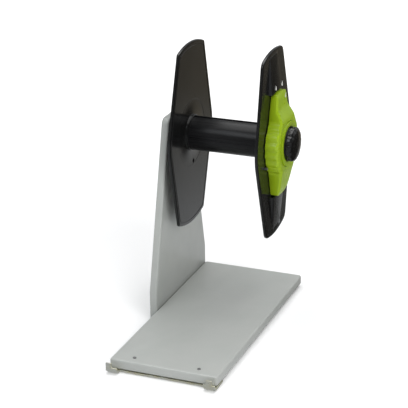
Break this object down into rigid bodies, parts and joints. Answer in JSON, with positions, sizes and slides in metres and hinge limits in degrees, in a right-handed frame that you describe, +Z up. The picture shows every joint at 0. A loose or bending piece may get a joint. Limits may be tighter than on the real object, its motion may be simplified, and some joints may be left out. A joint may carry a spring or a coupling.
{
  "type": "spool holder stand",
  "caption": "Free-standing roll holder: folded sheet-metal base and upright carrying a cantilevered spindle with a fixed inner flange and a sliding outer flange clamped by a turning lock ring.",
  "frame": {"origin": "bottom centre of the whole object's box, on the surface that the four feet stand on", "axes": "+X along the spindle, away from the upright; +Y from the docking hooks towards the back edge of the base; +Z up"},
  "size_m": [0.151, 0.2894, 0.3145],
  "materials": {
    "grey_paint": "light grey textured powder coat",
    "black_gloss": "moulded, semi-gloss",
    "black_satin": "moulded, satin",
    "black_anodised": "black anodised extrusion, satin",
    "green_plastic": "moulded yellow-green, semi-gloss",
    "zinc_steel": "yellow zinc plated",
    "steel": "bright zinc plated",
    "dark_steel": "black oxide",
    "rubber": "matt",
    "bronze": "sintered, oil-filled",
    "felt": "pressed wool felt",
    "white_mark": "raised index mark, plain drop shape"
  },
  "bodies": {
    "stand": {"base_pan": "grey_paint", "foot_front_left": "rubber", "foot_front_right": "rubber", "foot_back_left": "rubber", "foot_back_right": "rubber", "upright_panel": "grey_paint", "upright_screw_1": "steel", "upright_screw_2": "steel", "upright_screw_3": "steel", "clinch_nut_1": "steel", "clinch_nut_2": "steel", "clinch_nut_3": "steel", "docking_bracket": "zinc_steel", "bracket_screw_1": "dark_steel", "bracket_screw_2": "dark_steel", "bracket_spacer_1": "steel", "bracket_spacer_2": "steel", "spindle_shaft": "steel", "plate_screw_1": "steel", "plate_screw_2": "steel", "shaft_washer": "steel", "shaft_nut": "steel", "brake_felt": "felt", "thrust_washer": "steel", "cone_spring_1": "steel", "cone_spring_2": "steel", "tension_nut": "steel"},
    "spool": {"axle_tube": "black_anodised", "axle_hub": "black_satin", "inner_bush": "bronze", "flange_screw_1": "steel", "flange_screw_2": "steel", "flange_screw_3": "steel", "inner_flange": "black_gloss", "end_plug": "black_satin", "outer_bush": "bronze", "axle_end_cap": "black_gloss"},
    "collet": {"grip_collet": "black_satin"},
    "margin_stop": {"outer_flange": "black_gloss", "stop_pin_locked": "steel", "stop_pin_released": "steel", "ring_retainer": "green_plastic", "mark_released": "white_mark", "mark_locked": "white_mark"},
    "lock_ring": {"lock_ring": "green_plastic", "ring_mark": "white_mark"},
    "pad_front": {"clamp_pad_front": "black_satin"},
    "pad_rear": {"clamp_pad_rear": "black_satin"}
  },
  "joints": [
    {"name": "spool_spin", "type": "hinge", "parent": "stand", "child": "spool", "pos_m": [0, 0.06845, 0.2067], "axis": [1, 0, 0], "continuous": true},
    {"name": "stop_slide", "type": "slide", "parent": "spool", "child": "collet", "axis": [1, 0, 0], "range_m": [-0.075, 0.06]},
    {"name": "stop_turn", "type": "hinge", "parent": "collet", "child": "margin_stop", "pos_m": [0.05275, 0.06845, 0.2067], "axis": [1, 0, 0], "continuous": true},
    {"name": "lock_turn", "type": "hinge", "parent": "margin_stop", "child": "lock_ring", "pos_m": [0.05575, 0.06845, 0.2067], "axis": [1, 0, 0], "range_deg": [0, 20]},
    {"name": "pad_front_slide", "type": "slide", "parent": "margin_stop", "child": "pad_front", "axis": [0, -1, 0], "range_m": [0, 0.0009]},
    {"name": "pad_rear_slide", "type": "slide", "parent": "margin_stop", "child": "pad_rear", "axis": [0, 1, 0], "range_m": [0, 0.0009]}
  ],
  "couplings": [
    {"joint": "pad_front_slide", "follows": "lock_turn", "m_per_rad": 0.00229},
    {"joint": "pad_rear_slide", "follows": "lock_turn", "m_per_rad": 0.00229}
  ]
}
